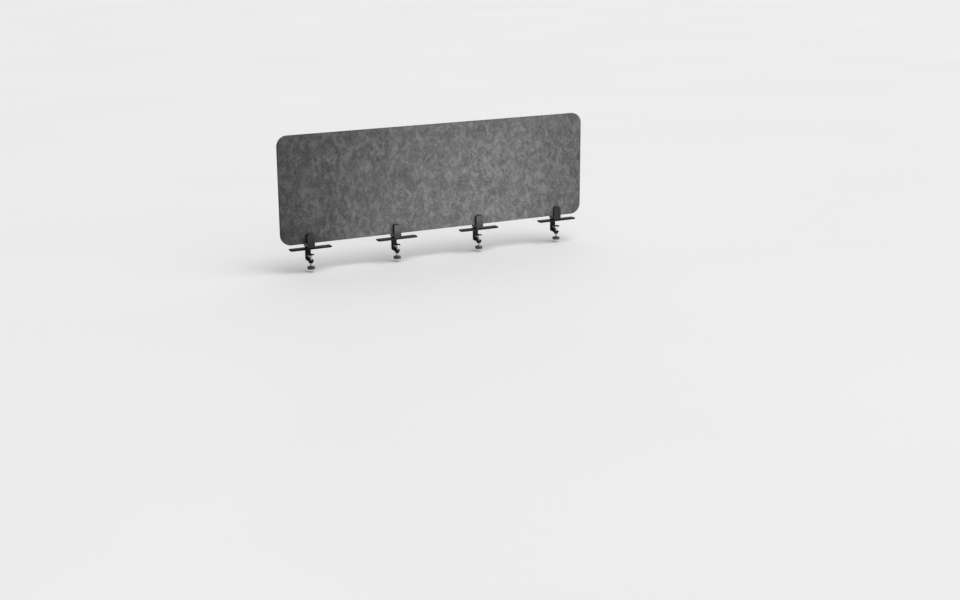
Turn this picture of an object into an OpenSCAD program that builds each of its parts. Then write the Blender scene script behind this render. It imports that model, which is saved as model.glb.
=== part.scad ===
// Felt desk privacy panel with four clamp brackets.
// The origin is at the middle of the panel's length, on the panel's mid-plane, at the
// height of the desk top. +X runs along the panel, +Y points off the back of the desk.

/* [Panel] */
// Length of the felt board
panel_length = 1500; // [1320:10:2000]
// Height of the felt board
panel_height = 480; // [300:10:700]
// Thickness of the felt board
panel_thickness = 12; // [9:1:14]
// Radius of the board's four corners
panel_corner_radius = 48; // [10:1:120]

/* [Brackets] */
// Distance from one bracket to the next
bracket_pitch = 412; // [220:1:420]
// Width of a clip, along the panel
clip_width = 34; // [32:1:60]
// Height of the jaws above the board's bottom edge
jaw_height = 45; // [38:1:70]
// Thickness of the front jaw
front_jaw_thickness = 17; // [14:1:24]
// How far the front jaw's crowned face leans back at its top
front_jaw_lean = 5; // [1:0.5:5]
// Thickness of the rear jaw
rear_jaw_thickness = 10.5; // [8:0.5:16]
// Radius of the jaws' top corners, seen from the front
jaw_corner_radius = 11; // [4:1:15]
// Height of the clip's base, from the top plate to the board
clip_base_height = 16; // [12:1:24]

/* [Top plate] */
// Length of the top plate, along the panel
plate_length = 190; // [120:1:210]
// Depth of the top plate
plate_depth = 34; // [26:1:44]
// How far the top plate stands out in front of the clip
plate_lip = 3; // [0:1:6]
// Thickness of the top plate
plate_thickness = 5; // [4:0.5:6]
// Thickness of the cushion under the top plate
cushion_thickness = 2; // [0.5:0.5:3]

/* [Desk clamp] */
// Thickness of the desk top that the clamps are set to
desk_thickness = 25; // [20:1:40]
// Distance from the board's mid-plane to the desk's rear edge
desk_edge_y = 20; // [18:1:24]
// Width of the bent hook strip
hook_width = 26; // [24:1:28]
// Thickness of the bent hook strip
hook_thickness = 5; // [4:0.5:6]
// Travel of the clamp pad each way from its set height
clamp_travel = 12.5; // [5:1.25:15]
// Diameter of the clamp knob
clamp_knob_diameter = 34; // [28:1:44]

/* [Panel grip] */
// Travel of the movable grip pad away from the board
grip_travel = 3; // [1:0.5:3]
// Diameter of the grip knob
grip_knob_diameter = 22; // [16:1:28]

/* [Hidden] */
$fn = 64;
eps = 0.01;
bracket_count = 4;

// Heights
plate_top = cushion_thickness + plate_thickness;
slot_floor = plate_top + clip_base_height;
clip_top = slot_floor + jaw_height;

// Depths
grip_pad_thickness = 2;
pressure_plate_thickness = 3;
grip_slack = 0.5;
slot_front = -panel_thickness / 2 - grip_pad_thickness;
pressure_plate_rear = panel_thickness / 2 + grip_pad_thickness + pressure_plate_thickness;
slot_rear = pressure_plate_rear + grip_travel + grip_slack;
clip_front = slot_front - front_jaw_thickness;
clip_rear = slot_rear + rear_jaw_thickness;
jaw_edge_radius = 3;
plate_y = clip_front - plate_lip + plate_depth / 2;

// The front jaw's face is an arc from the slot's floor up, blended into the top by a round
crown_edge_radius = 5;
crown_edge_y = clip_front + crown_edge_radius + front_jaw_lean;
crown_rise = jaw_height - crown_edge_radius;
crown_inner_radius = (pow(crown_rise, 2) + pow(front_jaw_lean, 2)) / (2 * front_jaw_lean);
crown_radius = crown_inner_radius + crown_edge_radius;
crown_height = crown_rise * crown_radius / crown_inner_radius;

// Screws that join the plate, the hook and the clip
joint_screw_radius = 2.5;
joint_screw_clearance = 0.25;
joint_screw_head_radius = 4.6;
joint_screw_x = 7;
joint_screw_top = slot_floor - 2;
joint_screw_socket_radius = 1.7;
joint_screw_socket_depth = 1.6;

// Grip pads: the front one fills its jaw, the rear one moves with the pressure plate
front_pad_margin = 1;
rear_pad_size = [24, 28];
rear_pad_corner_radius = 4;
grip_z = slot_floor + 25;

// Grip screw: an M6 with a captive tip in the pressure plate
grip_radius = 3;
grip_tip_radius = 2.9;
grip_tip_length = 1;
grip_neck_radius = 2;
grip_tip_gap = 0.3;
grip_tip_y = pressure_plate_rear - 1.7;
grip_neck_end = pressure_plate_rear + 0.5;
grip_knob_gap = 1.5;
grip_knob_length = 12;
grip_knob_y = clip_rear + grip_knob_gap;
grip_knob_bore = 8;

// Clamp: an M8 spindle with a ball end in a swivel cup
running_clearance = 0.05;
spindle_radius = 4;
spindle_y = plate_y;
pad_radius = 15;
pad_thickness = 2;
cup_radius = 16;
cup_flange = 3;
cup_hub_radius = 8;
cup_hub_length = 7;
ball_radius = 4;
ball_gap = 0.3;
ball_neck_radius = 2.8;
cup_mouth_radius = 3.4;
pad_bottom = -desk_thickness - pad_thickness;
hub_bottom = pad_bottom - cup_flange - cup_hub_length;
ball_z = pad_bottom - cup_flange - 2.5;
arm_top = hub_bottom - clamp_travel - 0.5;
arm_bottom = arm_top - hook_thickness;
boss_radius = 10;
boss_length = 8;
boss_bottom = arm_bottom - boss_length;
clamp_knob_top = boss_bottom - clamp_travel - 1;
clamp_knob_height = 14;
clamp_knob_bore = 9.5;
hook_front = clip_front + 5;
bend_radius = 3;

BRACKET_PARTS = [
    "plate_cushion", "top_plate", "plate_screws", "clip_body", "front_grip_pad",
    "rear_grip_pad", "pressure_plate", "grip_screw", "grip_knob", "clamp_hook",
    "clamp_pad_face", "swivel_cup", "clamp_spindle", "clamp_knob"
];

// ---- Shared shapes ----

// A profile drawn in Y and Z, extruded along X about the middle
module along_x(length) {
    rotate([90, 0, 90])
        linear_extrude(length, center = true)
            children();
}

// A profile drawn in X and Z, extruded along Y from y_from to y_to
module along_y(y_from, y_to) {
    translate([0, y_to, 0])
        rotate([90, 0, 0])
            linear_extrude(y_to - y_from)
                children();
}

// A round bar along Y from y_from to y_to
module bar_y(y_from, y_to, radius) {
    along_y(y_from, y_to)
        circle(r = radius);
}

// A round bar along Z from z_from to z_to
module bar_z(z_from, z_to, radius) {
    translate([0, 0, z_from])
        cylinder(h = z_to - z_from, r = radius);
}

// A rectangle with four round corners, about its middle
module rounded_rectangle(size, radius) {
    inner = [size[0] - 2 * radius, size[1] - 2 * radius];
    square([size[0], inner[1]], center = true);
    square([inner[0], size[1]], center = true);
    for (sx = [-1, 1], sy = [-1, 1])
        translate([sx * inner[0] / 2, sy * inner[1] / 2])
            circle(r = radius);
}

// An upright rectangle from low to high with its two top corners rounded
module round_topped(low, high, radius) {
    width = high[0] - low[0];
    translate(low)
        square([width, high[1] - low[1] - radius]);
    translate([low[0] + radius, low[1]])
        square([width - 2 * radius, high[1] - low[1]]);
    for (x = [low[0] + radius, high[0] - radius])
        translate([x, high[1] - radius])
            circle(r = radius);
}

// A quarter ring in the quadrant between 0 and 90 degrees
module quarter_ring(inner, outer) {
    intersection() {
        difference() {
            circle(r = outer);
            circle(r = inner);
        }
        square(outer);
    }
}

// A turned knob along Z with chamfered rims
module knob_blank(radius, height, chamfer) {
    rotate_extrude()
        polygon([
            [0, 0], [radius - chamfer, 0], [radius, chamfer],
            [radius, height - chamfer], [radius - chamfer, height], [0, height]
        ]);
}

module at_bracket(i) {
    translate([(i - (bracket_count + 1) / 2) * bracket_pitch, 0, 0])
        children();
}

// ---- Panel ----

module felt_panel() {
    color("dimgray")
        translate([0, 0, slot_floor + panel_height / 2])
            along_y(-panel_thickness / 2, panel_thickness / 2)
                rounded_rectangle([panel_length, panel_height], panel_corner_radius);
}

// ---- Plate on the desk top ----

module plate_outline(margin) {
    translate([0, plate_y])
        rounded_rectangle([plate_length - 2 * margin, plate_depth - 2 * margin], 3);
}

module plate_cushion() {
    color("black")
        linear_extrude(cushion_thickness)
            plate_outline(1);
}

// The places of the two joint screws, which sit side by side under the front jaw's rear
module at_joint_screws() {
    for (sx = [-1, 1])
        translate([sx * joint_screw_x, spindle_y, 0])
            children();
}

// The head's cone, which the plate's countersink takes
module joint_screw_cone(tip_radius) {
    translate([0, 0, cushion_thickness])
        cylinder(
            h = joint_screw_head_radius - tip_radius,
            r1 = joint_screw_head_radius,
            r2 = tip_radius
        );
}

module top_plate() {
    color("black")
        difference() {
            translate([0, 0, cushion_thickness])
                linear_extrude(plate_thickness)
                    plate_outline(0);
            at_joint_screws() {
                bar_z(0, clip_top, joint_screw_radius + joint_screw_clearance);
                joint_screw_cone(joint_screw_radius + joint_screw_clearance);
            }
        }
}

module plate_screws() {
    color("dimgray")
        at_joint_screws()
            difference() {
                union() {
                    joint_screw_cone(joint_screw_radius);
                    bar_z(cushion_thickness, joint_screw_top, joint_screw_radius);
                }
                translate([0, 0, cushion_thickness - eps])
                    cylinder(
                        h = joint_screw_socket_depth,
                        r = joint_screw_socket_radius,
                        $fn = 6
                    );
            }
}

// ---- Clip that holds the board ----

module front_jaw_profile() {
    top_rear = slot_front - jaw_edge_radius;
    intersection() {
        translate([clip_front + crown_radius, slot_floor])
            circle(r = crown_radius);
        translate([clip_front, slot_floor])
            square([crown_edge_y - clip_front, crown_height]);
    }
    translate([crown_edge_y, slot_floor + crown_rise])
        circle(r = crown_edge_radius);
    translate([crown_edge_y, slot_floor]) {
        square([top_rear - crown_edge_y, jaw_height]);
        square([slot_front - crown_edge_y, jaw_height - jaw_edge_radius]);
    }
    translate([top_rear, clip_top - jaw_edge_radius])
        circle(r = jaw_edge_radius);
}

module clip_side_profile() {
    translate([clip_front, plate_top])
        square([clip_rear - clip_front, clip_base_height]);
    front_jaw_profile();
    round_topped([slot_rear, plate_top], [clip_rear, clip_top], jaw_edge_radius);
}

module clip_front_profile() {
    round_topped(
        [-clip_width / 2, plate_top],
        [clip_width / 2, clip_top],
        jaw_corner_radius
    );
}

module clip_body() {
    color("black")
        difference() {
            intersection() {
                along_x(clip_width)
                    clip_side_profile();
                along_y(clip_front, clip_rear)
                    clip_front_profile();
            }
            // Channel for the hook's top leg
            translate([-hook_width / 2, hook_front, plate_top - eps])
                cube([hook_width, clip_rear - hook_front + 1, hook_thickness + eps]);
            // Threaded holes for the joint screws
            at_joint_screws()
                bar_z(plate_top, joint_screw_top, joint_screw_radius);
            // Threaded bore for the grip screw
            translate([0, 0, grip_z])
                bar_y(slot_rear - 1, clip_rear + 1, grip_radius + running_clearance);
        }
}

module front_grip_pad() {
    pad_half = clip_width / 2 - front_pad_margin;
    color("darkslategray")
        along_y(slot_front, -panel_thickness / 2)
            round_topped(
                [-pad_half, slot_floor + front_pad_margin],
                [pad_half, clip_top - front_pad_margin],
                jaw_corner_radius - front_pad_margin
            );
}

module rear_pad_outline() {
    translate([0, grip_z])
        rounded_rectangle(rear_pad_size, rear_pad_corner_radius);
}

module rear_grip_pad() {
    color("darkslategray")
        along_y(panel_thickness / 2, panel_thickness / 2 + grip_pad_thickness)
            rear_pad_outline();
}

module pressure_plate() {
    color("silver")
        difference() {
            along_y(panel_thickness / 2 + grip_pad_thickness, pressure_plate_rear)
                rear_pad_outline();
            // Socket that holds the screw's tip, and its narrower mouth
            translate([0, 0, grip_z]) {
                bar_y(
                    grip_tip_y - grip_tip_gap,
                    grip_tip_y + grip_tip_length + grip_tip_gap,
                    grip_tip_radius + grip_tip_gap
                );
                bar_y(grip_tip_y, pressure_plate_rear + 1, grip_neck_radius + grip_tip_gap);
            }
        }
}

module grip_screw() {
    color("silver")
        translate([0, 0, grip_z]) {
            bar_y(grip_tip_y, grip_tip_y + grip_tip_length, grip_tip_radius);
            bar_y(grip_tip_y, grip_neck_end, grip_neck_radius);
            bar_y(grip_neck_end, grip_knob_y + grip_knob_bore, grip_radius);
        }
}

module grip_knob() {
    groove_count = 24;
    groove_radius = 0.8;
    color("black")
        translate([0, grip_knob_y + grip_knob_length, grip_z])
            rotate([90, 0, 0])
                difference() {
                    knob_blank(grip_knob_diameter / 2, grip_knob_length, 1.2);
                    for (k = [0 : groove_count - 1])
                        rotate(k * 360 / groove_count)
                            translate([grip_knob_diameter / 2 + groove_radius / 4, 0, 0])
                                bar_z(-1, grip_knob_length + 1, groove_radius);
                    bar_z(
                        grip_knob_length - grip_knob_bore,
                        grip_knob_length + 1,
                        grip_radius
                    );
                }
}

// ---- Clamp on the desk's rear edge ----

module hook_profile() {
    web_rear = desk_edge_y + hook_thickness;
    leg_top = plate_top + hook_thickness;
    bend_y = desk_edge_y - bend_radius;
    outer = bend_radius + hook_thickness;
    // Top leg, web and lower arm
    translate([hook_front, plate_top])
        square([bend_y - hook_front, hook_thickness]);
    translate([desk_edge_y, arm_top + bend_radius])
        square([hook_thickness, plate_top - arm_top - 2 * bend_radius]);
    translate([spindle_y, arm_bottom])
        square([bend_y - spindle_y, hook_thickness]);
    // Bends
    translate([bend_y, leg_top - outer])
        quarter_ring(bend_radius, outer);
    translate([web_rear - outer, arm_bottom + outer])
        mirror([0, 1])
            quarter_ring(bend_radius, outer);
}

module clamp_hook() {
    color("black")
        difference() {
            union() {
                along_x(hook_width)
                    hook_profile();
                translate([0, spindle_y, 0]) {
                    bar_z(arm_bottom, arm_top, hook_width / 2);
                    bar_z(boss_bottom, arm_bottom, boss_radius);
                }
            }
            translate([0, spindle_y, 0])
                bar_z(boss_bottom - 1, arm_top + 1, spindle_radius + running_clearance);
            at_joint_screws()
                bar_z(
                    plate_top - 1,
                    plate_top + hook_thickness + 1,
                    joint_screw_radius + joint_screw_clearance
                );
        }
}

module clamp_pad_face() {
    color("darkslategray")
        translate([0, spindle_y, 0])
            bar_z(pad_bottom, -desk_thickness, pad_radius);
}

module swivel_cup() {
    color("silver")
        translate([0, spindle_y, 0])
            difference() {
                union() {
                    bar_z(pad_bottom - cup_flange, pad_bottom, cup_radius);
                    bar_z(hub_bottom, pad_bottom - cup_flange, cup_hub_radius);
                }
                translate([0, 0, ball_z])
                    sphere(r = ball_radius + ball_gap);
                bar_z(hub_bottom - 1, ball_z, cup_mouth_radius);
            }
}

module clamp_spindle() {
    color("silver")
        translate([0, spindle_y, 0]) {
            translate([0, 0, ball_z])
                sphere(r = ball_radius);
            bar_z(hub_bottom - 0.5, ball_z, ball_neck_radius);
            bar_z(clamp_knob_top - clamp_knob_bore, hub_bottom - 0.5, spindle_radius);
        }
}

module clamp_knob() {
    lobe_count = 8;
    scallop_radius = 5;
    scallop_offset = 2.6;
    color("black")
        translate([0, spindle_y, clamp_knob_top - clamp_knob_height])
            difference() {
                knob_blank(clamp_knob_diameter / 2, clamp_knob_height, 2);
                for (k = [0 : lobe_count - 1])
                    rotate((k + 0.5) * 360 / lobe_count)
                        translate([clamp_knob_diameter / 2 + scallop_offset, 0, 0])
                            bar_z(-1, clamp_knob_height + 1, scallop_radius);
                bar_z(
                    clamp_knob_height - clamp_knob_bore,
                    clamp_knob_height + 1,
                    spindle_radius
                );
            }
}

// ---- The object ----

felt_panel();
for (i = [1 : bracket_count]) at_bracket(i) {
    plate_cushion();
    top_plate();
    plate_screws();
    clip_body();
    front_grip_pad();
    rear_grip_pad();
    pressure_plate();
    grip_screw();
    grip_knob();
    clamp_hook();
    clamp_pad_face();
    swivel_cup();
    clamp_spindle();
    clamp_knob();
}
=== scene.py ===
"""Looks of the felt desk privacy panel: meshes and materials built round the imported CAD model.

Lengths are in metres. Each bracket's pieces are drawn about X = 0 and then moved to their clip.
"""

import math

import bmesh
import bpy
from mathutils import Matrix, Vector, noise


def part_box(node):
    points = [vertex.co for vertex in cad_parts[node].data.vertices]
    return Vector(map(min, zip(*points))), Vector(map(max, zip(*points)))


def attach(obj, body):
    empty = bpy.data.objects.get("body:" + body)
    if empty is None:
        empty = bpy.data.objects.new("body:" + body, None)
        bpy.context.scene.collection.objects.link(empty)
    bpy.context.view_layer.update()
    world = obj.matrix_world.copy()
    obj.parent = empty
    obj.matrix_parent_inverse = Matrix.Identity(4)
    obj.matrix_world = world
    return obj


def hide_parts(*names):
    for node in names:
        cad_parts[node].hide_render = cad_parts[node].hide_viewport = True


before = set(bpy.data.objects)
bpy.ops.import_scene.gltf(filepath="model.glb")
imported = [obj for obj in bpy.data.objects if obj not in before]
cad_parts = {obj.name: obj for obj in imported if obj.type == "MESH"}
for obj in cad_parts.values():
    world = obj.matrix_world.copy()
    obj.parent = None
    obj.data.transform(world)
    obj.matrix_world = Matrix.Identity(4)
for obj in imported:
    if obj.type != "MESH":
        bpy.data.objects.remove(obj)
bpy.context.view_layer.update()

MM = 0.001
BRACKETS = (1, 2, 3, 4)
ROOT = "frame"
TURN = 2 * math.pi


# ---- Sizes, from the frame ----


def centred_box(node):
    """A node's lowest and highest corners, with X measured from the middle of bracket 1."""
    low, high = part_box(node)
    middle = Vector((bracket_x(1), 0, 0))
    return low - middle, high - middle


def bracket_x(i):
    low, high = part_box(f"clip_body_{i}")
    return (low.x + high.x) / 2


PANEL_LOW, PANEL_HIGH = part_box("felt_panel")
CLIP_LOW, CLIP_HIGH = centred_box("clip_body_1")
PLATE_LOW, PLATE_HIGH = centred_box("top_plate_1")
CUSHION_LOW, CUSHION_HIGH = centred_box("plate_cushion_1")
HOOK_LOW, HOOK_HIGH = centred_box("clamp_hook_1")
FRONT_PAD_LOW, FRONT_PAD_HIGH = centred_box("front_grip_pad_1")
REAR_PAD_LOW, REAR_PAD_HIGH = centred_box("rear_grip_pad_1")
PRESSURE_LOW, PRESSURE_HIGH = centred_box("pressure_plate_1")
GRIP_SCREW_LOW, GRIP_SCREW_HIGH = centred_box("grip_screw_1")
GRIP_KNOB_LOW, GRIP_KNOB_HIGH = centred_box("grip_knob_1")
PAD_LOW, PAD_HIGH = centred_box("clamp_pad_face_1")
CUP_LOW, CUP_HIGH = centred_box("swivel_cup_1")
SPINDLE_LOW, SPINDLE_HIGH = centred_box("clamp_spindle_1")
CLAMP_KNOB_LOW, CLAMP_KNOB_HIGH = centred_box("clamp_knob_1")

PANEL_CORNER = 48 * MM
JAW_CORNER = 11 * MM
JAW_EDGE = 3 * MM
CROWN_EDGE = 5 * MM
CROWN_LEAN = 5 * MM
SLOT_FLOOR = PANEL_LOW.z
SLOT_FRONT = FRONT_PAD_LOW.y
REAR_JAW = 10.5 * MM
STRIP = 5 * MM
HOOK_LEG_FRONT = CLIP_LOW.y + 5 * MM
BEND = 3 * MM
ARM_BOSS_LENGTH = 8 * MM
BOSS_RADIUS = 10 * MM
WELD_SIZE = 2 * MM
ARM_UNDER = HOOK_LOW.z + ARM_BOSS_LENGTH
SPINDLE_Y = (SPINDLE_LOW.y + SPINDLE_HIGH.y) / 2
SPINDLE_RADIUS = (SPINDLE_HIGH.y - SPINDLE_LOW.y) / 2
GRIP_Z = (GRIP_SCREW_LOW.z + GRIP_SCREW_HIGH.z) / 2
GRIP_RADIUS = (GRIP_SCREW_HIGH.z - GRIP_SCREW_LOW.z) / 2
SPINDLE_PITCH = 1.25 * MM
GRIP_PITCH = 1 * MM
GRIP_TIP_RADIUS = 2.9 * MM
GRIP_TIP_LENGTH = 1 * MM
GRIP_KNOB_RIM = 11 * MM
GRIP_KNOB_BORE = 8 * MM
CLAMP_KNOB_RIM = 17 * MM
CLAMP_KNOB_BORE = 9.5 * MM
BALL_RADIUS = 4 * MM
BALL_GAP = 0.3 * MM
RUNNING = 0.05 * MM
CARVING_GAP = 0.02 * MM
FLOOR_DROP = 13 * MM


# ---- Node helpers ----


class Shader:
    """A material's node tree, with short calls for the nodes that the materials share."""

    def __init__(self, name):
        self.material = bpy.data.materials.new(name)
        self.material.use_nodes = True
        self.tree = self.material.node_tree
        self.tree.nodes.clear()
        self.bsdf = self.tree.nodes.new("ShaderNodeBsdfPrincipled")
        output = self.tree.nodes.new("ShaderNodeOutputMaterial")
        self.link(self.bsdf.outputs["BSDF"], output.inputs["Surface"])
        self.place = self.tree.nodes.new("ShaderNodeTexCoord").outputs["Object"]

    def link(self, source, target):
        self.tree.links.new(source, target)

    def node(self, kind, **inputs):
        """A node whose inputs are set by name: a socket is linked and a value is stored."""
        made = self.tree.nodes.new(kind)
        for key, value in inputs.items():
            self.feed(made.inputs[key.replace("_", " ")], value)
        return made

    def feed(self, socket, value):
        if isinstance(value, bpy.types.NodeSocket):
            self.link(value, socket)
        else:
            socket.default_value = value

    def scaled(self, factors, turn=(0, 0, 0)):
        """The object's own coordinates, turned and then scaled."""
        turned = self.tree.nodes.new("ShaderNodeVectorRotate")
        turned.rotation_type = "EULER_XYZ"
        self.feed(turned.inputs["Vector"], self.place)
        self.feed(turned.inputs["Rotation"], turn)
        scaled = self.tree.nodes.new("ShaderNodeVectorMath")
        scaled.operation = "MULTIPLY"
        self.feed(scaled.inputs[0], turned.outputs[0])
        self.feed(scaled.inputs[1], factors)
        return scaled.outputs[0]

    def noise(
        self, per_metre, detail=2.0, roughness=0.5, stretch=(1, 1, 1), turn=(0, 0, 0), curl=0.0
    ):
        factors = tuple(per_metre * s for s in stretch)
        made = self.node(
            "ShaderNodeTexNoise", Vector=self.scaled(factors, turn), Scale=1.0,
            Detail=detail, Roughness=roughness, Distortion=curl,
        )
        return made.outputs["Fac"]

    def ramp(self, value, *stops):
        """A colour ramp through (position, grey or colour) stops."""
        made = self.node("ShaderNodeValToRGB", Fac=value)
        elements = made.color_ramp.elements
        while len(elements) < len(stops):
            elements.new(0.5)
        for element, (position, colour) in zip(elements, stops):
            element.position = position
            grey = isinstance(colour, (int, float))
            element.color = (colour, colour, colour, 1) if grey else (*colour, 1)
        return made.outputs["Color"]

    def math(self, operation, a, b=0.0, clamp=False):
        made = self.tree.nodes.new("ShaderNodeMath")
        made.operation = operation
        made.use_clamp = clamp
        self.feed(made.inputs[0], a)
        self.feed(made.inputs[1], b)
        return made.outputs[0]

    def mix(self, share, a, b, blend="MIX"):
        made = self.tree.nodes.new("ShaderNodeMix")
        made.data_type = "RGBA"
        made.blend_type = blend
        self.feed(made.inputs["Factor"], share)
        for key, value in (("A", a), ("B", b)):
            sockets = [s for s in made.inputs if s.name == key and s.type == "RGBA"]
            plain = isinstance(value, tuple) and len(value) == 3
            self.feed(sockets[0], (*value, 1) if plain else value)
        return [s for s in made.outputs if s.type == "RGBA"][0]

    def bump(self, height, distance, strength=1.0, under=None):
        made = self.node("ShaderNodeBump", Height=height, Distance=distance, Strength=strength)
        if under is not None:
            self.feed(made.inputs["Normal"], under)
        return made.outputs["Normal"]

    def surface(self, **inputs):
        for key, value in inputs.items():
            self.feed(self.bsdf.inputs[key.replace("_", " ")], value)
        return self.material


# ---- Materials ----


def felt_material():
    """Heather felt: cloudy grey ground, wisps and curly fibres lying all ways, and stray flecks."""
    s = Shader("heather_felt")
    clouds = s.noise(9, detail=3.0, roughness=0.6, stretch=(1, 1, 0.8))
    marbling = s.noise(30, detail=6.0, roughness=0.46, stretch=(1, 1, 0.7), curl=1.1)
    grain = s.noise(900, detail=3.0, roughness=0.65)
    colour = s.ramp(clouds, (0.3, (0.02, 0.02, 0.021)), (0.7, (0.073, 0.073, 0.075)))
    colour = s.mix(0.55, colour, s.ramp(marbling, (0.32, 0.0155), (0.5, 0.043), (0.68, 0.112)))
    colour = s.mix(0.2, colour, s.ramp(grain, (0.3, 0.019), (0.7, 0.076)))
    wisps = strokes(s, (0.2, 1.3, -0.8), 50, (1, 1, 0.42), 1.3)
    tufts = strokes(s, (0.1, 1.0, -0.6, 2.2), 330, (1, 1, 0.22), 1.4)
    hairs = strokes(s, (0.5, 1.5, -0.3, -1.1), 1100, (1, 1, 0.1), 0.8)
    layers = ((wisps, 0.34, 0.46), (tufts, 0.12, 0.18), (hairs, 0.34, 0.3))
    for (light, dark), pale, deep in layers:
        colour = s.mix(s.math("MULTIPLY", light, pale), colour, (0.11, 0.11, 0.113))
        colour = s.mix(s.math("MULTIPLY", dark, deep), colour, (0.0155, 0.0155, 0.016))
    flecks = s.noise(340, 2.0, 0.6, stretch=(1, 1, 0.5), turn=(0, 0.4, 0), curl=0.8)
    colour = s.mix(s.ramp(flecks, (0.71, 0.0), (0.75, 0.6)), colour, (0.2, 0.2, 0.2))
    specks = s.noise(190, 3.0, 0.6, stretch=(1, 1, 0.5), turn=(0, -0.5, 0), curl=1.0)
    colour = s.mix(s.ramp(specks, (0.3, 0.95), (0.33, 0.0)), colour, (0.008, 0.008, 0.0085))
    fuzz = s.noise(2400, detail=2.0, stretch=(1, 1, 0.3), turn=(0, 0.5, 0), curl=0.8)
    relief = s.math("ADD", s.math("MULTIPLY", tufts[0], 0.6), s.math("MULTIPLY", fuzz, 0.5))
    relief = s.math("ADD", relief, s.math("MULTIPLY", hairs[0], 0.5))
    normal = s.bump(marbling, 0.8 * MM, 0.5)
    normal = s.bump(relief, 0.4 * MM, 0.6, under=normal)
    return s.surface(
        Base_Color=colour, Roughness=0.95, Normal=normal, Specular_IOR_Level=0.15,
        Sheen_Weight=0.06, Sheen_Roughness=0.5, Sheen_Tint=(0.6, 0.6, 0.62, 1),
    )


def strokes(s, turns, per_metre, stretch, curl):
    """Masks of one size's light and dark fibres, which lie at each of the turns about Y."""
    light = dark = None
    for k, turn in enumerate(turns):
        field = s.noise(per_metre * (1 + 0.12 * k), 1.5, 0.5, stretch, (0, turn, 0), curl)
        above = s.ramp(field, (0.58, 0.0), (0.7, 1.0))
        below = s.ramp(field, (0.3, 1.0), (0.42, 0.0))
        light = above if light is None else s.math("MAXIMUM", light, above)
        dark = below if dark is None else s.math("MAXIMUM", dark, below)
    return light, dark


def powder_coat_material():
    """Black powder coat on steel, with its fine orange peel."""
    s = Shader("black_powder_coat")
    peel = s.noise(1500, detail=2.0)
    patches = s.noise(60, detail=3.0)
    colour = s.ramp(patches, (0.3, (0.002, 0.002, 0.0021)), (0.7, (0.004, 0.004, 0.0042)))
    return s.surface(
        Base_Color=colour, Roughness=s.ramp(patches, (0.3, 0.42), (0.7, 0.54)),
        Normal=s.bump(peel, 0.12 * MM, 0.5), Specular_IOR_Level=0.1,
    )


def moulding_material():
    """Satin black moulding with a spark-eroded skin."""
    s = Shader("black_moulding")
    skin = s.noise(2600, detail=2.0, roughness=0.6)
    flow = s.noise(45, detail=3.0)
    colour = s.ramp(flow, (0.3, (0.004, 0.004, 0.0042)), (0.7, (0.007, 0.007, 0.0074)))
    return s.surface(
        Base_Color=colour, Roughness=s.ramp(flow, (0.3, 0.36), (0.7, 0.46)),
        Normal=s.bump(skin, 0.1 * MM, 0.45), Specular_IOR_Level=0.26,
    )


def knob_material():
    """Black hand-knob plastic, a little glossier where fingers polish it."""
    s = Shader("knob_plastic")
    skin = s.noise(1900, detail=2.0)
    wear = s.noise(120, detail=3.0)
    colour = s.ramp(wear, (0.3, (0.010, 0.010, 0.011)), (0.7, (0.018, 0.018, 0.019)))
    return s.surface(
        Base_Color=colour, Roughness=s.ramp(wear, (0.3, 0.3), (0.7, 0.48)),
        Normal=s.bump(skin, 0.08 * MM, 0.4), Specular_IOR_Level=0.5,
    )


def rubber_material():
    """Matte black rubber with a chalky bloom."""
    s = Shader("black_rubber")
    grain = s.noise(3200, detail=1.0)
    bloom = s.noise(140, detail=4.0, roughness=0.65)
    colour = s.ramp(bloom, (0.35, (0.005, 0.005, 0.005)), (0.75, (0.012, 0.012, 0.0125)))
    return s.surface(
        Base_Color=colour, Roughness=s.ramp(bloom, (0.3, 0.78), (0.7, 0.9)),
        Normal=s.bump(grain, 0.1 * MM, 0.5), Specular_IOR_Level=0.2,
    )


def zinc_material():
    """Bright zinc plate on steel, with turning marks and faint cloudiness."""
    s = Shader("zinc_plate")
    clouds = s.noise(180, detail=4.0, roughness=0.6)
    turning = s.noise(700, detail=2.0, stretch=(0.25, 0.25, 6))
    colour = s.ramp(clouds, (0.3, (0.36, 0.365, 0.38)), (0.7, (0.5, 0.505, 0.51)))
    return s.surface(
        Base_Color=colour, Metallic=1.0, Roughness=s.ramp(clouds, (0.3, 0.28), (0.7, 0.44)),
        Normal=s.bump(turning, 0.04 * MM, 0.35),
    )


# ---- Mesh helpers ----


def arc(centre, radius, start, end, steps):
    """Points along an arc, from start to end in degrees, both ends included."""
    angles = [math.radians(start + (end - start) * k / steps) for k in range(steps + 1)]
    return [(centre[0] + radius * math.cos(a), centre[1] + radius * math.sin(a)) for a in angles]


def offset(outline, distance):
    """The closed outline, which runs anticlockwise, moved inwards with mitred corners."""
    count = len(outline)
    moved = []
    for k, point in enumerate(outline):
        here = Vector(point)
        before = (here - Vector(outline[k - 1])).normalized()
        after = (Vector(outline[(k + 1) % count]) - here).normalized()
        first, second = Vector((-before.y, before.x)), Vector((-after.y, after.x))
        mitre = (first + second) / max(0.2, 1 + first.dot(second))
        moved.append(tuple(here + mitre * distance))
    return moved


def rounded_rectangle(low, high, radius, steps=10):
    """Anticlockwise outline of a rectangle with four round corners."""
    x0, y0, x1, y1 = low[0] + radius, low[1] + radius, high[0] - radius, high[1] - radius
    points = []
    for centre, start in (((x1, y0), -90), ((x1, y1), 0), ((x0, y1), 90), ((x0, y0), 180)):
        points += arc(centre, radius, start, start + 90, steps)
    return points


def round_topped(low, high, radius, steps=12):
    """Anticlockwise outline of a rectangle whose two top corners are round."""
    top = high[1] - radius
    points = [(low[0], low[1]), (high[0], low[1])]
    points += arc((high[0] - radius, top), radius, 0, 90, steps)
    points += arc((low[0] + radius, top), radius, 90, 180, steps)
    return points


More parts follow.
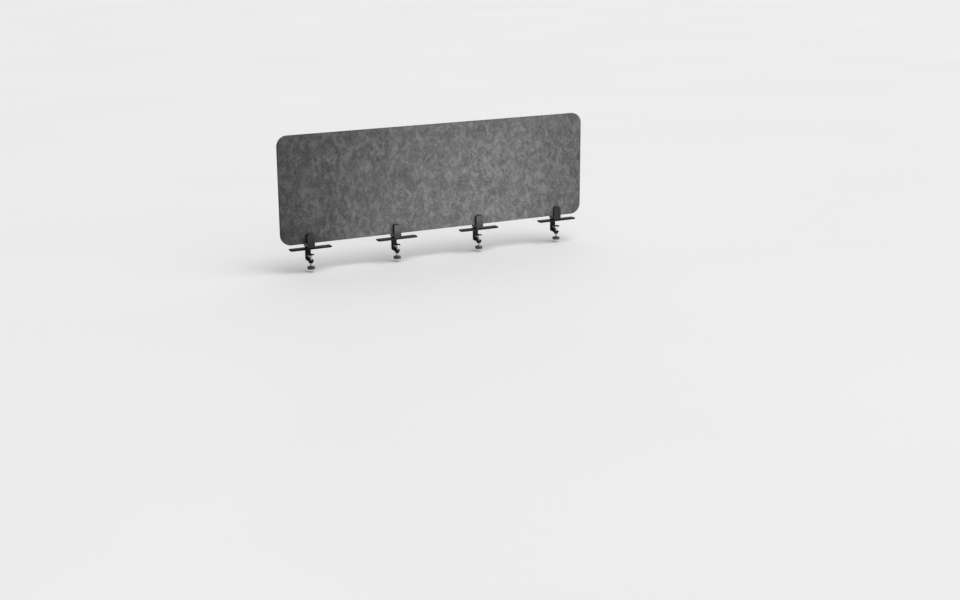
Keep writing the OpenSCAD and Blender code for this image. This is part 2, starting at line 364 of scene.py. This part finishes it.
def loft(loops):
    """A closed mesh through equal loops of points, with a flat face at each end."""
    mesh = bmesh.new()
    rings = [[mesh.verts.new(p) for p in loop] for loop in loops]
    count = len(rings[0])
    for lower, upper in zip(rings, rings[1:]):
        for k in range(count):
            after = (k + 1) % count
            mesh.faces.new((lower[k], lower[after], upper[after], upper[k]))
    mesh.faces.new(list(reversed(rings[0])))
    mesh.faces.new(rings[-1])
    return mesh


def rounding(radius, steps=4):
    """(inset, depth) pairs that round an edge, from the flat face to the full outline."""
    angles = [math.pi / 2 * k / steps for k in range(steps + 1)]
    return [(radius * (1 - math.sin(a)), radius * (1 - math.cos(a))) for a in angles]


def prism(outline, low, high, edge, steps=4):
    """The outline, drawn in X and Y, raised from low to high in Z, with both rims rounded."""
    rims = rounding(edge, steps)
    levels = [(inset, low + depth) for inset, depth in rims]
    levels += [(inset, high - depth) for inset, depth in reversed(rims)]
    return loft([[(x, y, z) for x, y in offset(outline, inset)] for inset, z in levels])


def turned(profile, steps=64, radius_at=None):
    """A solid of revolution about Z through (radius, z) points, closed by a point at each end.

    radius_at(radius, angle, z) may change the radius, for lobes, knurls and threads.
    """
    mesh = bmesh.new()
    rings = []
    for radius, z in profile:
        if radius < 1e-7:
            rings.append([mesh.verts.new((0, 0, z))])
            continue
        ring = []
        for k in range(steps):
            angle = TURN * k / steps
            r = radius_at(radius, angle, z) if radius_at else radius
            ring.append(mesh.verts.new((r * math.cos(angle), r * math.sin(angle), z)))
        rings.append(ring)
    for lower, upper in zip(rings, rings[1:]):
        for k in range(steps):
            after = (k + 1) % steps
            corners = [lower[k % len(lower)], lower[after % len(lower)]]
            corners += [upper[after % len(upper)], upper[k % len(upper)]]
            unique = list(dict.fromkeys(corners))
            if len(unique) > 2:
                mesh.faces.new(unique)
    return mesh


def ring_solid(profile, steps=64, radius_at=None):
    """A ring about Z whose closed section is the (radius, z) outline."""
    mesh = bmesh.new()
    rings = []
    for k in range(steps):
        angle = TURN * k / steps
        ring = []
        for radius, z in profile:
            r = radius_at(radius, angle, z) if radius_at else radius
            ring.append(mesh.verts.new((r * math.cos(angle), r * math.sin(angle), z)))
        rings.append(ring)
    count = len(profile)
    for k in range(steps):
        here, there = rings[k], rings[(k + 1) % steps]
        for j in range(count):
            after = (j + 1) % count
            mesh.faces.new((here[j], here[after], there[after], there[j]))
    return mesh


UPRIGHT = Matrix.Rotation(math.radians(90), 4, "X")
ALONG_Y = Matrix.Rotation(math.radians(-90), 4, "X")


def as_object(mesh, name, material, smooth_below=38.0):
    """A bmesh as an object, with outward normals, smooth but for edges sharper than the angle."""
    bmesh.ops.recalc_face_normals(mesh, faces=mesh.faces)
    data = bpy.data.meshes.new(name)
    mesh.to_mesh(data)
    mesh.free()
    data.shade_smooth()
    data.set_sharp_from_angle(angle=math.radians(smooth_below))
    data.materials.append(material)
    made = bpy.data.objects.new(name, data)
    bpy.context.scene.collection.objects.link(made)
    return made


def moved(mesh, *matrices):
    for matrix in matrices:
        bmesh.ops.transform(mesh, matrix=matrix, verts=mesh.verts)
    return mesh


def joined(first, *others):
    """One bmesh that holds them all."""
    for other in others:
        data = bpy.data.meshes.new("joining")
        other.to_mesh(data)
        other.free()
        first.from_mesh(data)
        bpy.data.meshes.remove(data)
    return first


def carved(body, cutters):
    """body less each cutter, with all of them freed."""
    target = as_object(body, "carving", MATERIALS["moulding"])
    for cutter in cutters:
        tool = as_object(cutter, "cutter", MATERIALS["moulding"])
        cut = target.modifiers.new("cut", "BOOLEAN")
        cut.operation, cut.solver, cut.object = "DIFFERENCE", "EXACT", tool
        shape = target.evaluated_get(bpy.context.evaluated_depsgraph_get())
        result = bpy.data.meshes.new_from_object(shape)
        target.modifiers.clear()
        target.data = result
        bpy.data.objects.remove(tool)
    mesh = bmesh.new()
    mesh.from_mesh(target.data)
    bpy.data.objects.remove(target)
    return mesh


# ---- Felt board ----


def felt_board():
    """The board as an even grid whose square corners are pressed round, with soft rims."""
    rim, rim_steps = 1.4 * MM, 4
    step = 5.5 * MM
    radius = PANEL_CORNER - rim
    half = Vector((PANEL_HIGH.x - PANEL_LOW.x, PANEL_HIGH.z - PANEL_LOW.z)) / 2
    half -= Vector((rim, rim))
    middle = Vector(((PANEL_HIGH.x + PANEL_LOW.x) / 2, (PANEL_HIGH.z + PANEL_LOW.z) / 2))
    corner_cells = 9
    core_x, core_z = half.x - radius, half.y - radius
    most_ragged = 0.12 * MM

    def stops(length):
        """Grid lines from -length to length, with the corner zones cut evenly."""
        straight = length - radius
        cells = max(1, round(2 * straight / step))
        inner = [-straight + 2 * straight * k / cells for k in range(cells + 1)]
        zone = [straight + radius * (k + 1) / corner_cells for k in range(corner_cells)]
        return [-z for z in reversed(zone)] + inner + zone

    def pressed(x, z):
        """A point of the square grid, moved into the round corner if it lies in one."""
        u, v = (abs(x) - core_x) / radius, (abs(z) - core_z) / radius
        if u <= 0 or v <= 0:
            return x, z
        disc_u, disc_v = u * math.sqrt(1 - v * v / 2), v * math.sqrt(1 - u * u / 2)
        sign_x, sign_z = math.copysign(1, x), math.copysign(1, z)
        return sign_x * (core_x + radius * disc_u), sign_z * (core_z + radius * disc_v)

    def outward(x, z):
        """The unit direction out of the outline at a point of its edge."""
        d = Vector((max(0, abs(x) - core_x), max(0, abs(z) - core_z)))
        if abs(x) < core_x:
            d = Vector((0, 1))
        elif abs(z) < core_z:
            d = Vector((1, 0))
        d.normalize()
        return Vector((math.copysign(d.x, x), math.copysign(d.y, z)))

    mesh = bmesh.new()
    columns, rows = stops(half.x), stops(half.y)
    faces = {}
    for side, y in ((-1, PANEL_LOW.y), (1, PANEL_HIGH.y)):
        grid = []
        for z in rows:
            line = []
            for x in columns:
                px, pz = pressed(x, z)
                place = Vector((px + middle.x, y, pz + middle.y))
                wave = noise.noise(place * 14) * 0.22 + noise.noise(place * 60) * 0.12
                place.y -= side * (0.2 + wave) * MM * 0.8
                line.append(mesh.verts.new(place))
            grid.append(line)
        faces[side] = grid
        for lower, upper in zip(grid, grid[1:]):
            for k in range(len(columns) - 1):
                mesh.faces.new((lower[k], lower[k + 1], upper[k + 1], upper[k]))

    def edge_loop(grid):
        loop = grid[0][:-1] + [line[-1] for line in grid[:-1]]
        return loop + grid[-1][:0:-1] + [line[0] for line in grid[:0:-1]]

    front, back = edge_loop(faces[-1]), edge_loop(faces[1])
    thickness = PANEL_HIGH.y - PANEL_LOW.y
    quarter = [(rim * math.sin(a), rim * (1 - math.cos(a)))
               for a in (math.pi / 2 * k / rim_steps for k in range(1, rim_steps + 1))]
    walls = [(rim, rim + (thickness - 2 * rim) * k / 4) for k in range(1, 4)]
    rings = quarter + walls + [(out, thickness - depth) for out, depth in reversed(quarter)]
    previous = front
    for out, depth in rings:
        ring = []
        for vertex in front:
            x, z = vertex.co.x - middle.x, vertex.co.z - middle.y
            direction = outward(x, z)
            y = PANEL_LOW.y + depth
            ragged = noise.noise(Vector((x * 160, y * 500, z * 160))) * most_ragged
            far = out + (ragged - most_ragged) * (out / rim)
            place = (x + direction.x * far + middle.x, y, z + direction.y * far + middle.y)
            ring.append(mesh.verts.new(place))
        bridge(mesh, previous, ring)
        previous = ring
    bridge(mesh, previous, back)
    made = as_object(mesh, "felt_board", MATERIALS["felt"], smooth_below=180)
    finish_piece(made, ROOT, "felt", "felt_panel")


def bridge(mesh, lower, upper):
    count = len(lower)
    for k in range(count):
        after = (k + 1) % count
        mesh.faces.new((lower[k], lower[after], upper[after], upper[k]))


# ---- Bracket pieces, each drawn about X = 0 ----


def top_plate():
    outline = rounded_rectangle(PLATE_LOW.xy, PLATE_HIGH.xy, 3 * MM)
    return prism(outline, PLATE_LOW.z, PLATE_HIGH.z, 0.7 * MM)


def plate_cushion():
    outline = rounded_rectangle(CUSHION_LOW.xy, CUSHION_HIGH.xy, 3 * MM)
    return prism(outline, CUSHION_LOW.z, CUSHION_HIGH.z, 0.25 * MM, steps=2)


def crowned_face(top):
    """The front jaw's outer face in Y and Z: a round at the top, then the arc of its crown."""
    front, floor = CLIP_LOW.y, SLOT_FLOOR
    rise, full_rise = top - CROWN_EDGE - floor, CLIP_HIGH.z - CROWN_EDGE - floor
    inner = (full_rise**2 + CROWN_LEAN**2) / (2 * CROWN_LEAN)
    middle = (front + CROWN_EDGE + inner, floor)
    edge = (middle[0] - math.sqrt(inner**2 - rise**2), top - CROWN_EDGE)
    meeting = math.degrees(math.asin(rise / inner))
    points = arc(edge, CROWN_EDGE, 90, 180 - meeting, 8)
    return points + arc(middle, inner + CROWN_EDGE, 180 - meeting, 180, 10)[1:]


def clip_side(top):
    """The clip's side outline in Y and Z, with both jaws as high as top."""
    front, rear, floor = CLIP_LOW.y, CLIP_HIGH.y, SLOT_FLOOR
    slot_rear = rear - REAR_JAW
    fillet = 1.2 * MM
    points = [(front, CLIP_LOW.z), (rear, CLIP_LOW.z)]
    points += arc((rear - JAW_EDGE, top - JAW_EDGE), JAW_EDGE, 0, 90, 6)
    points += arc((slot_rear + JAW_EDGE, top - JAW_EDGE), JAW_EDGE, 90, 180, 6)
    points += arc((slot_rear - fillet, floor + fillet), fillet, 360, 270, 4)
    points += arc((SLOT_FRONT + fillet, floor + fillet), fillet, 270, 180, 4)
    points += arc((SLOT_FRONT - JAW_EDGE, top - JAW_EDGE), JAW_EDGE, 0, 90, 6)
    return points + crowned_face(top)


def clip_body():
    """The clip: its side outline lofted across, falling away round the jaws' top corners."""
    half, edge, steps = CLIP_HIGH.x, 1.1 * MM, 12
    flat = half - JAW_CORNER
    right = [(0.0, CLIP_HIGH.z, 0.0), (flat, CLIP_HIGH.z, 0.0)]
    for k in range(1, steps + 1):
        angle = math.radians(90) * k / steps
        x, top = flat + JAW_CORNER * math.sin(angle), CLIP_HIGH.z - JAW_CORNER * (1 - math.cos(angle))
        if x < half - edge:
            right.append((x, top, 0.0))
    for inset, depth in reversed(rounding(edge, 5)):
        x = half - depth
        fall = JAW_CORNER - math.sqrt(max(0, JAW_CORNER**2 - (min(x, half - 0.3 * MM) - flat) ** 2))
        right.append((x, CLIP_HIGH.z - fall, inset))
    left = [(-x, top, inset) for x, top, inset in reversed(right[1:])]
    loops = []
    for x, top, inset in left + right:
        outline = offset(clip_side(top), inset)
        loops.append([(x, y, z) for y, z in outline])
    mesh = loft(loops)
    half_width, beyond = HOOK_HIGH.x + CARVING_GAP, 5 * MM
    low, high = (-half_width, HOOK_LEG_FRONT - CARVING_GAP), (half_width, CLIP_HIGH.y + beyond)
    channel = prism(
        rounded_rectangle(low, high, 0.1 * MM, 1),
        CLIP_LOW.z - beyond, CLIP_LOW.z + STRIP + CARVING_GAP, 0.05 * MM, 1,
    )
    bore_radius = GRIP_RADIUS + RUNNING
    start, mouth = -4 * MM, 0.8 * MM
    bore = turned([
        (0, start), (bore_radius, start), (bore_radius, REAR_JAW - mouth),
        (bore_radius + mouth, REAR_JAW), (bore_radius + mouth, REAR_JAW + MM), (0, REAR_JAW + MM),
    ])
    moved(bore, ALONG_Y, Matrix.Translation((0, CLIP_HIGH.y - REAR_JAW, GRIP_Z)))
    return carved(mesh, [channel, bore])


def grip_outline(low, high, radius):
    return rounded_rectangle((low.x, low.z), (high.x, high.z), radius)


def front_grip_pad():
    outline = round_topped(
        (FRONT_PAD_LOW.x, FRONT_PAD_LOW.z), (FRONT_PAD_HIGH.x, FRONT_PAD_HIGH.z), JAW_CORNER - MM
    )
    return moved(prism(outline, -FRONT_PAD_HIGH.y, -FRONT_PAD_LOW.y, 0.4 * MM), UPRIGHT)


def rear_grip_pad():
    outline = grip_outline(REAR_PAD_LOW, REAR_PAD_HIGH, 4 * MM)
    return moved(prism(outline, -REAR_PAD_HIGH.y, -REAR_PAD_LOW.y, 0.4 * MM), UPRIGHT)


def pressure_plate():
    """Steel backing of the rear pad, with the socket that holds the screw's tip."""
    outline = grip_outline(PRESSURE_LOW, PRESSURE_HIGH, 4 * MM)
    mesh = moved(prism(outline, -PRESSURE_HIGH.y, -PRESSURE_LOW.y, 0.4 * MM), UPRIGHT)
    gap, throat = 0.3 * MM, 2.3 * MM
    room = GRIP_TIP_RADIUS + gap
    start, end = GRIP_SCREW_LOW.y - gap, GRIP_SCREW_LOW.y + GRIP_TIP_LENGTH + gap
    beyond = PRESSURE_HIGH.y + MM
    socket = turned([
        (0, start), (room, start), (room, end), (throat, end), (throat, beyond), (0, beyond),
    ], steps=40)
    return carved(mesh, [moved(socket, ALONG_Y, Matrix.Translation((0, 0, GRIP_Z)))])


def thread_depth(pitch, start, end, depth):
    """radius_at for a right-hand thread cut between two heights, fading in over half a turn."""
    def radius_at(radius, angle, z):
        inside = min(z - start, end - z)
        if inside <= 0:
            return radius
        phase = (z / pitch - angle / TURN) % 1
        cut = min(1.0, max(0.0, 1.6 * (1 - abs(2 * phase - 1)) - 0.25))
        return radius - depth * cut * min(1.0, inside / (0.6 * pitch))
    return radius_at


def threaded(profile_before, profile_after, radius, start, end, pitch, steps=32):
    """A turned rod whose stretch from start to end carries a thread."""
    count = round((end - start) / (pitch / 7))
    stretch = [(radius, start + (end - start) * k / count) for k in range(count + 1)]
    cut = thread_depth(pitch, start, end, 0.55 * pitch)
    return turned(profile_before + stretch + profile_after, steps, cut)


def grip_screw():
    """Grip screw along Y: captive tip, neck and thread."""
    y, end, radius = GRIP_SCREW_LOW.y, GRIP_SCREW_HIGH.y, GRIP_RADIUS
    tip, neck, tip_end = GRIP_TIP_RADIUS, 2.0 * MM, y + GRIP_TIP_LENGTH
    shoulder, chamfer = PRESSURE_HIGH.y + 0.5 * MM, 0.6 * MM
    before = [
        (0, y), (tip - 0.3 * MM, y), (tip, y + 0.3 * MM), (tip, y + 0.7 * MM),
        (tip - 0.3 * MM, tip_end), (neck, tip_end), (neck, shoulder), (radius - chamfer, shoulder),
        (radius, shoulder + chamfer),
    ]
    after = [(radius, end - 0.5 * MM), (radius - 0.5 * MM, end), (0, end)]
    thread_end = GRIP_KNOB_LOW.y + MM
    mesh = threaded(before, after, radius, shoulder + 0.7 * MM, thread_end, GRIP_PITCH)
    return moved(mesh, ALONG_Y, Matrix.Translation((0, 0, GRIP_Z)))


def scalloped(rim, count, offset_out, scallop, softness, inner, shift):
    """radius_at for a rim cut by round scallops; rings inside the inner radius stay round.

    shift is in pitches: 0.5 cuts a scallop at angle 0, and 0 leaves a lobe there.
    """
    pitch = TURN / count
    centre = rim + offset_out

    def radius_at(radius, angle, z):
        if radius <= inner:
            return radius
        turn = (angle + shift * pitch) % pitch - pitch / 2
        across = centre * math.sin(turn)
        if abs(across) >= scallop:
            return radius
        cut = centre * math.cos(turn) - math.sqrt(scallop**2 - across**2)
        near = max(0.0, softness - abs(rim - cut)) / softness
        limit = min(rim, cut) - near * near * softness / 4
        return radius - (rim - limit)
    return radius_at


def grip_knob():
    """Knurled thumb knob along Y, dished at its outer end."""
    length, rim, knurls = GRIP_KNOB_HIGH.y - GRIP_KNOB_LOW.y, GRIP_KNOB_RIM, 24
    edge = 1.2 * MM
    bore = GRIP_RADIUS
    profile = [(0, GRIP_KNOB_BORE), (bore, GRIP_KNOB_BORE), (bore, 0.6 * MM)]
    profile += [(bore + 0.6 * MM, 0), (7 * MM, 0)]
    profile += [(7.4 * MM, 0), (rim - edge, 0)]
    profile += [(rim - edge + x, edge + y) for x, y in arc((0, 0), edge, -60, 0, 3)]
    profile += [(rim, length * k / 4) for k in (1, 2, 3)]
    profile += [(rim - edge + x, length - edge + y) for x, y in arc((0, 0), edge, 0, 75, 4)]
    profile += [(8.4 * MM, length), (7.9 * MM, length - 0.2 * MM), (7.5 * MM, length - 0.8 * MM)]
    profile += [(5 * MM, length - 1.1 * MM), (2.5 * MM, length - 1.0 * MM), (0, length - 0.95 * MM)]
    knurling = scalloped(rim, knurls, 0.2 * MM, 0.8 * MM, 0.25 * MM, 8.5 * MM, 0.5)
    mesh = turned(profile, knurls * 10, knurling)
    return moved(mesh, ALONG_Y, Matrix.Translation((0, GRIP_KNOB_LOW.y, GRIP_Z)))


def hook_side(front):
    """The hook strip's side outline in Y and Z, with its lower arm reaching to front."""
    leg_under, leg_top = CLIP_LOW.z, CLIP_LOW.z + STRIP
    outer = BEND + STRIP
    lower_bend = (HOOK_HIGH.y - outer, ARM_UNDER + outer)
    upper_bend = (HOOK_HIGH.y - outer, leg_top - outer)
    points = [(front, ARM_UNDER)]
    points += arc(lower_bend, outer, 270, 360, 8) + arc(upper_bend, outer, 0, 90, 8)
    points += [(HOOK_LEG_FRONT, leg_top), (HOOK_LEG_FRONT, leg_under)]
    points += arc(upper_bend, BEND, 90, 0, 8) + arc(lower_bend, BEND, 360, 270, 8)
    return points + [(front, ARM_UNDER + STRIP)]


def clamp_hook():
    """Bent strip with a round arm end, a welded threaded boss and the weld bead round it."""
    half, edge, steps = HOOK_HIGH.x, 0.6 * MM, 14
    stations = []
    for k in range(steps + 1):
        angle = math.radians(90) * k / steps
        x = half * math.sin(angle)
        if x < half - edge:
            stations.append((x, SPINDLE_Y - half * math.cos(angle), 0.0))
    for inset, depth in reversed(rounding(edge, 3)):
        x = half - depth
        reach = math.sqrt(max(0.0, half**2 - min(x, half - 0.15 * MM) ** 2))
        stations.append((x, SPINDLE_Y - reach, inset))
    left = [(-x, front, inset) for x, front, inset in reversed(stations[1:])]
    loops = []
    for x, front, inset in left + stations:
        loops.append([(x, y, z) for y, z in offset(hook_side(front), inset)])
    strip = loft(loops)
    arm_top = ARM_UNDER + STRIP
    bore_radius, sink = SPINDLE_RADIUS + RUNNING, 0.5 * MM
    hole = turned([
        (0, ARM_UNDER - MM), (bore_radius, ARM_UNDER - MM), (bore_radius, arm_top - sink),
        (bore_radius + sink, arm_top), (bore_radius + sink, arm_top + MM), (0, arm_top + MM),
    ])
    at_spindle = Matrix.Translation((0, SPINDLE_Y, 0))
    strip = carved(strip, [moved(hole, at_spindle)])
    low, chamfer, boss_top = HOOK_LOW.z, 0.8 * MM, ARM_UNDER + 0.3 * MM
    boss = ring_solid([
        (bore_radius + chamfer / 2, low), (BOSS_RADIUS - chamfer, low), (BOSS_RADIUS, low + chamfer),
        (BOSS_RADIUS, boss_top), (bore_radius, boss_top), (bore_radius, low + chamfer / 2),
    ])
    bead = ring_solid(weld_section(ARM_UNDER), 160, ripple)
    return joined(strip, moved(boss, at_spindle), moved(bead, at_spindle))


def weld_section(top):
    """Section of the fillet weld between the boss and the arm."""
    size = WELD_SIZE
    inner = BOSS_RADIUS - 0.4 * MM
    face = [(BOSS_RADIUS + size * math.cos(a), top - size * math.sin(a))
            for a in (math.radians(15 * k) for k in range(7))]
    return [(inner, top + 0.4 * MM), (BOSS_RADIUS + size, top + 0.4 * MM), *face, (inner, top - size)]


def ripple(radius, angle, z):
    """Weld ripples, which swell the bead's outer face."""
    swell = 0.5 + 0.5 * math.sin(34 * angle + 0.6 * math.sin(5 * angle))
    share = max(0.0, (radius - BOSS_RADIUS) / WELD_SIZE)
    return radius - share * 0.32 * MM * swell


def clamp_pad_face():
    """Rubber disc with three rings cut in its face."""
    radius, low, high = PAD_HIGH.x, PAD_LOW.z, PAD_HIGH.z
    groove, depth = 0.45 * MM, 0.5 * MM
    profile = [(0, low), (radius - 0.3 * MM, low), (radius, low + 0.3 * MM)]
    profile += [(radius, high - 0.5 * MM), (radius - 0.15 * MM, high - 0.15 * MM)]
    profile += [(radius - 0.5 * MM, high)]
    for share in (0.76, 0.52, 0.28):
        middle = radius * share
        profile += [(middle + 2 * groove, high), (middle + groove, high - depth)]
        profile += [(middle - groove, high - depth), (middle - 2 * groove, high)]
    profile += [(0, high)]
    return moved(turned(profile), Matrix.Translation((0, SPINDLE_Y, 0)))


def swivel_cup():
    """Pressed steel cup: a flange under the pad and a hub that holds the spindle's ball."""
    radius, low, high = CUP_HIGH.x, CUP_LOW.z, CUP_HIGH.z
    flange, hub, fillet = 3 * MM, 8 * MM, 1.4 * MM
    ball_z = SPINDLE_HIGH.z - BALL_RADIUS
    socket, mouth = BALL_RADIUS + BALL_GAP, 3.4 * MM
    profile = [(0, high), (radius - 0.6 * MM, high), (radius - 0.15 * MM, high - 0.2 * MM)]
    profile += [(radius, high - 0.6 * MM), (radius, high - flange + 0.6 * MM)]
    profile += [(radius - 0.6 * MM, high - flange)]
    profile += [(hub + fillet - x, high - flange - fillet + y)
                for x, y in arc((0, 0), fillet, 90, 0, 5)]
    profile += [(hub, low + 0.8 * MM), (hub - 0.8 * MM, low), (mouth + 0.4 * MM, low)]
    profile += [(mouth, low + 0.4 * MM)]
    lowest = -math.degrees(math.acos(mouth / socket))
    profile += [(x, ball_z + y) for x, y in arc((0, 0), socket, lowest, 90, 12)]
    profile[-1] = (0, profile[-1][1])
    return moved(turned(profile), Matrix.Translation((0, SPINDLE_Y, 0)))


def clamp_spindle():
    """Threaded spindle with a ball end and a plain neck."""
    low, radius = SPINDLE_LOW.z, SPINDLE_RADIUS
    ball_z = SPINDLE_HIGH.z - BALL_RADIUS
    neck = 2.8 * MM
    shoulder = CUP_LOW.z - 0.5 * MM
    before = [(0, low), (radius - 0.5 * MM, low), (radius, low + 0.5 * MM)]
    lowest = -math.degrees(math.acos(neck / BALL_RADIUS))
    after = [(radius - 0.9 * MM, shoulder - 0.05 * MM), (neck, shoulder)]
    after += [(x, ball_z + y) for x, y in arc((0, 0), BALL_RADIUS, lowest, 90, 14)]
    after[-1] = (0, after[-1][1])
    thread_start = CLAMP_KNOB_HIGH.z - 2 * MM
    mesh = threaded(before, after, radius, thread_start, shoulder - MM, SPINDLE_PITCH)
    return moved(mesh, Matrix.Translation((0, SPINDLE_Y, 0)))


def clamp_knob():
    """Eight-lobed hand knob with a collar on top and a dished cap below."""
    height, rim, lobes = CLAMP_KNOB_HIGH.z - CLAMP_KNOB_LOW.z, CLAMP_KNOB_RIM, 8
    edge = 2.2 * MM
    bore = SPINDLE_RADIUS
    profile = [(0, 0.9 * MM), (6 * MM, 0.75 * MM), (8.4 * MM, 0.6 * MM), (9 * MM, 0.15 * MM)]
    profile += [(9.6 * MM, 0)]
    profile += [(rim - edge + x, edge + y) for x, y in arc((0, 0), edge, -80, 0, 6)]
    profile += [(rim, height * k / 5) for k in (1.5, 2.5, 3.5)]
    shoulder = height - 2.4 * MM
    profile += [(rim - edge + x, shoulder - edge + y) for x, y in arc((0, 0), edge, 0, 80, 6)]
    profile += [(9 * MM, shoulder + 0.25 * MM), (8.2 * MM, shoulder + 0.7 * MM)]
    profile += [(7.4 * MM, height - 0.5 * MM), (6.9 * MM, height), (bore + 0.5 * MM, height)]
    bore_end = height - CLAMP_KNOB_BORE
    profile += [(bore, height - 0.5 * MM), (bore, bore_end), (0, bore_end)]
    mesh = turned(profile, lobes * 28, scalloped(rim, lobes, 2.6 * MM, 5 * MM, 1.2 * MM, 9.7 * MM, 0))
    return moved(mesh, Matrix.Translation((0, SPINDLE_Y, CLAMP_KNOB_LOW.z)))


# ---- Assembly ----


def finish_piece(piece, body, slot, *nodes):
    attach(piece, body)
    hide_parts(*nodes)


# Piece, its CAD node, its body, its material and the record's slot
BRACKET_PIECES = (
    (top_plate, "top_plate", ROOT, "powder_coat", "coated_steel"),
    (plate_cushion, "plate_cushion", ROOT, "rubber", "rubber"),
    (clip_body, "clip_body", ROOT, "moulding", "black_moulding"),
    (front_grip_pad, "front_grip_pad", ROOT, "rubber", "rubber"),
    (clamp_hook, "clamp_hook", ROOT, "powder_coat", "coated_steel"),
    (rear_grip_pad, "rear_grip_pad", "grip_pad", "rubber", "rubber"),
    (pressure_plate, "pressure_plate", "grip_pad", "zinc", "zinc_steel"),
    (grip_screw, "grip_screw", "grip_thumbscrew", "zinc", "zinc_steel"),
    (grip_knob, "grip_knob", "grip_thumbscrew", "knob", "knob_plastic"),
    (clamp_pad_face, "clamp_pad_face", "clamp_pad", "rubber", "rubber"),
    (swivel_cup, "swivel_cup", "clamp_pad", "zinc", "zinc_steel"),
    (clamp_spindle, "clamp_spindle", "clamp_screw", "zinc", "zinc_steel"),
    (clamp_knob, "clamp_knob", "clamp_screw", "knob", "knob_plastic"),
)


def brackets():
    for build, node, body, material, slot in BRACKET_PIECES:
        pattern = as_object(build(), node, MATERIALS[material])
        for i in BRACKETS:
            data = pattern.data.copy()
            data.transform(Matrix.Translation((bracket_x(i), 0, 0)))
            piece = bpy.data.objects.new(f"{node}_look_{i}", data)
            bpy.context.scene.collection.objects.link(piece)
            finish_piece(piece, body if body == ROOT else f"{body}_{i}", slot, f"{node}_{i}")
        bpy.data.objects.remove(pattern)


def joint_screws():
    """The screws inside the clips stay as the CAD made them, in zinc plate."""
    for i in BRACKETS:
        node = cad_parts[f"plate_screws_{i}"]
        node.data.materials.clear()
        node.data.materials.append(MATERIALS["zinc"])


# ---- Stage, light and camera ----


def floor():
    """A pale floor just below the clamp knobs' lowest travel."""
    s = Shader("pale_floor")
    haze = s.noise(0.6, detail=2.0)
    s.surface(Base_Color=s.ramp(haze, (0.3, 0.85), (0.7, 0.87)), Roughness=0.75)
    mesh = bmesh.new()
    bmesh.ops.create_grid(mesh, x_segments=8, y_segments=8, size=60)
    made = as_object(mesh, "studio_floor", s.material)
    made.location = (0, 30, CLAMP_KNOB_LOW.z - FLOOR_DROP)
    return made


def lamp(kind, name, place, target, power):
    light = bpy.data.lights.new(name, kind)
    light.energy = power
    made = bpy.data.objects.new(name, light)
    made.location = place
    aim = Vector(target) - Vector(place)
    made.rotation_euler = aim.to_track_quat("-Z", "Y").to_euler()
    bpy.context.scene.collection.objects.link(made)
    return made


def studio(stage_floor):
    """A soft sky, dimmer on the left, with a wide sun, a key, a rear fill and a bounce from below."""
    world = bpy.data.worlds.new("studio_world")
    world.use_nodes = True
    nodes, links = world.node_tree.nodes, world.node_tree.links
    direction = nodes.new("ShaderNodeSeparateXYZ")
    links.new(nodes.new("ShaderNodeTexCoord").outputs["Generated"], direction.inputs[0])
    fall = nodes.new("ShaderNodeMapRange")
    links.new(direction.outputs["X"], fall.inputs["Value"])
    for key, value in (("From Min", -0.9), ("From Max", 0.9), ("To Min", 0.12), ("To Max", 1.0)):
        fall.inputs[key].default_value = value
    # Seen directly, the sky is an even pale backdrop
    seen = nodes.new("ShaderNodeMix")
    links.new(nodes.new("ShaderNodeLightPath").outputs["Is Camera Ray"], seen.inputs["Factor"])
    links.new(fall.outputs["Result"], seen.inputs["A"])
    seen.inputs["B"].default_value = 0.86
    links.new(seen.outputs["Result"], nodes["Background"].inputs["Strength"])
    nodes["Background"].inputs["Color"].default_value = (1, 1, 1, 1)
    bpy.context.scene.world = world
    bpy.context.scene.view_settings.view_transform = "Standard"

    sun = lamp("SUN", "wide_sun", (0.5, -0.5, 2.4), (0, 0, 0), 1.4)
    sun.data.angle = math.radians(40)
    # The area lamps light the object alone, so that the floor stays even
    spared = bpy.data.collections.new("spared_by_the_area_lamps")
    spared.objects.link(stage_floor)
    spared.collection_objects[0].light_linking.link_state = "EXCLUDE"
    for name, place, target, size, power, shines in (
        ("key", (0.3, -0.85, 0.32), (0.2, 0, 0.25), 0.8, 17, True),
        ("rear_fill", (1.0, 2.5, 1.0), (0.2, 0, 0.25), 1.5, 75, False),
        ("desk_bounce", (0.1, -0.62, 0), (0.1, -0.62, 1), 1.2, 10, False),
    ):
        light = lamp("AREA", name, place, target, power)
        light.data.shape, light.data.size = "SQUARE", size
        light.light_linking.receiver_collection = spared
        light.visible_camera = False
        light.visible_glossy = shines


def camera():
    """The camera looks along the panel from its front left, a little above it."""
    yaw, pitch, roll = math.radians(26.87), math.radians(15.45), math.radians(-0.27)
    data = bpy.data.cameras.new("camera")
    data.sensor_width, data.lens = 36, 54.3
    data.clip_end = 200
    made = bpy.data.objects.new("camera", data)
    made.location = (-2.742, -5.840, 1.467)
    heading = Matrix.Rotation(-yaw, 4, "Z")
    tilt = Matrix.Rotation(math.radians(90) - pitch, 4, "X")
    lean = Matrix.Rotation(roll, 4, "Z")
    made.rotation_euler = (heading @ tilt @ lean).to_euler()
    bpy.context.scene.collection.objects.link(made)
    bpy.context.scene.camera = made


MATERIALS = {
    "felt": felt_material(),
    "powder_coat": powder_coat_material(),
    "moulding": moulding_material(),
    "knob": knob_material(),
    "rubber": rubber_material(),
    "zinc": zinc_material(),
}

felt_board()
brackets()
joint_screws()
studio(floor())
camera()
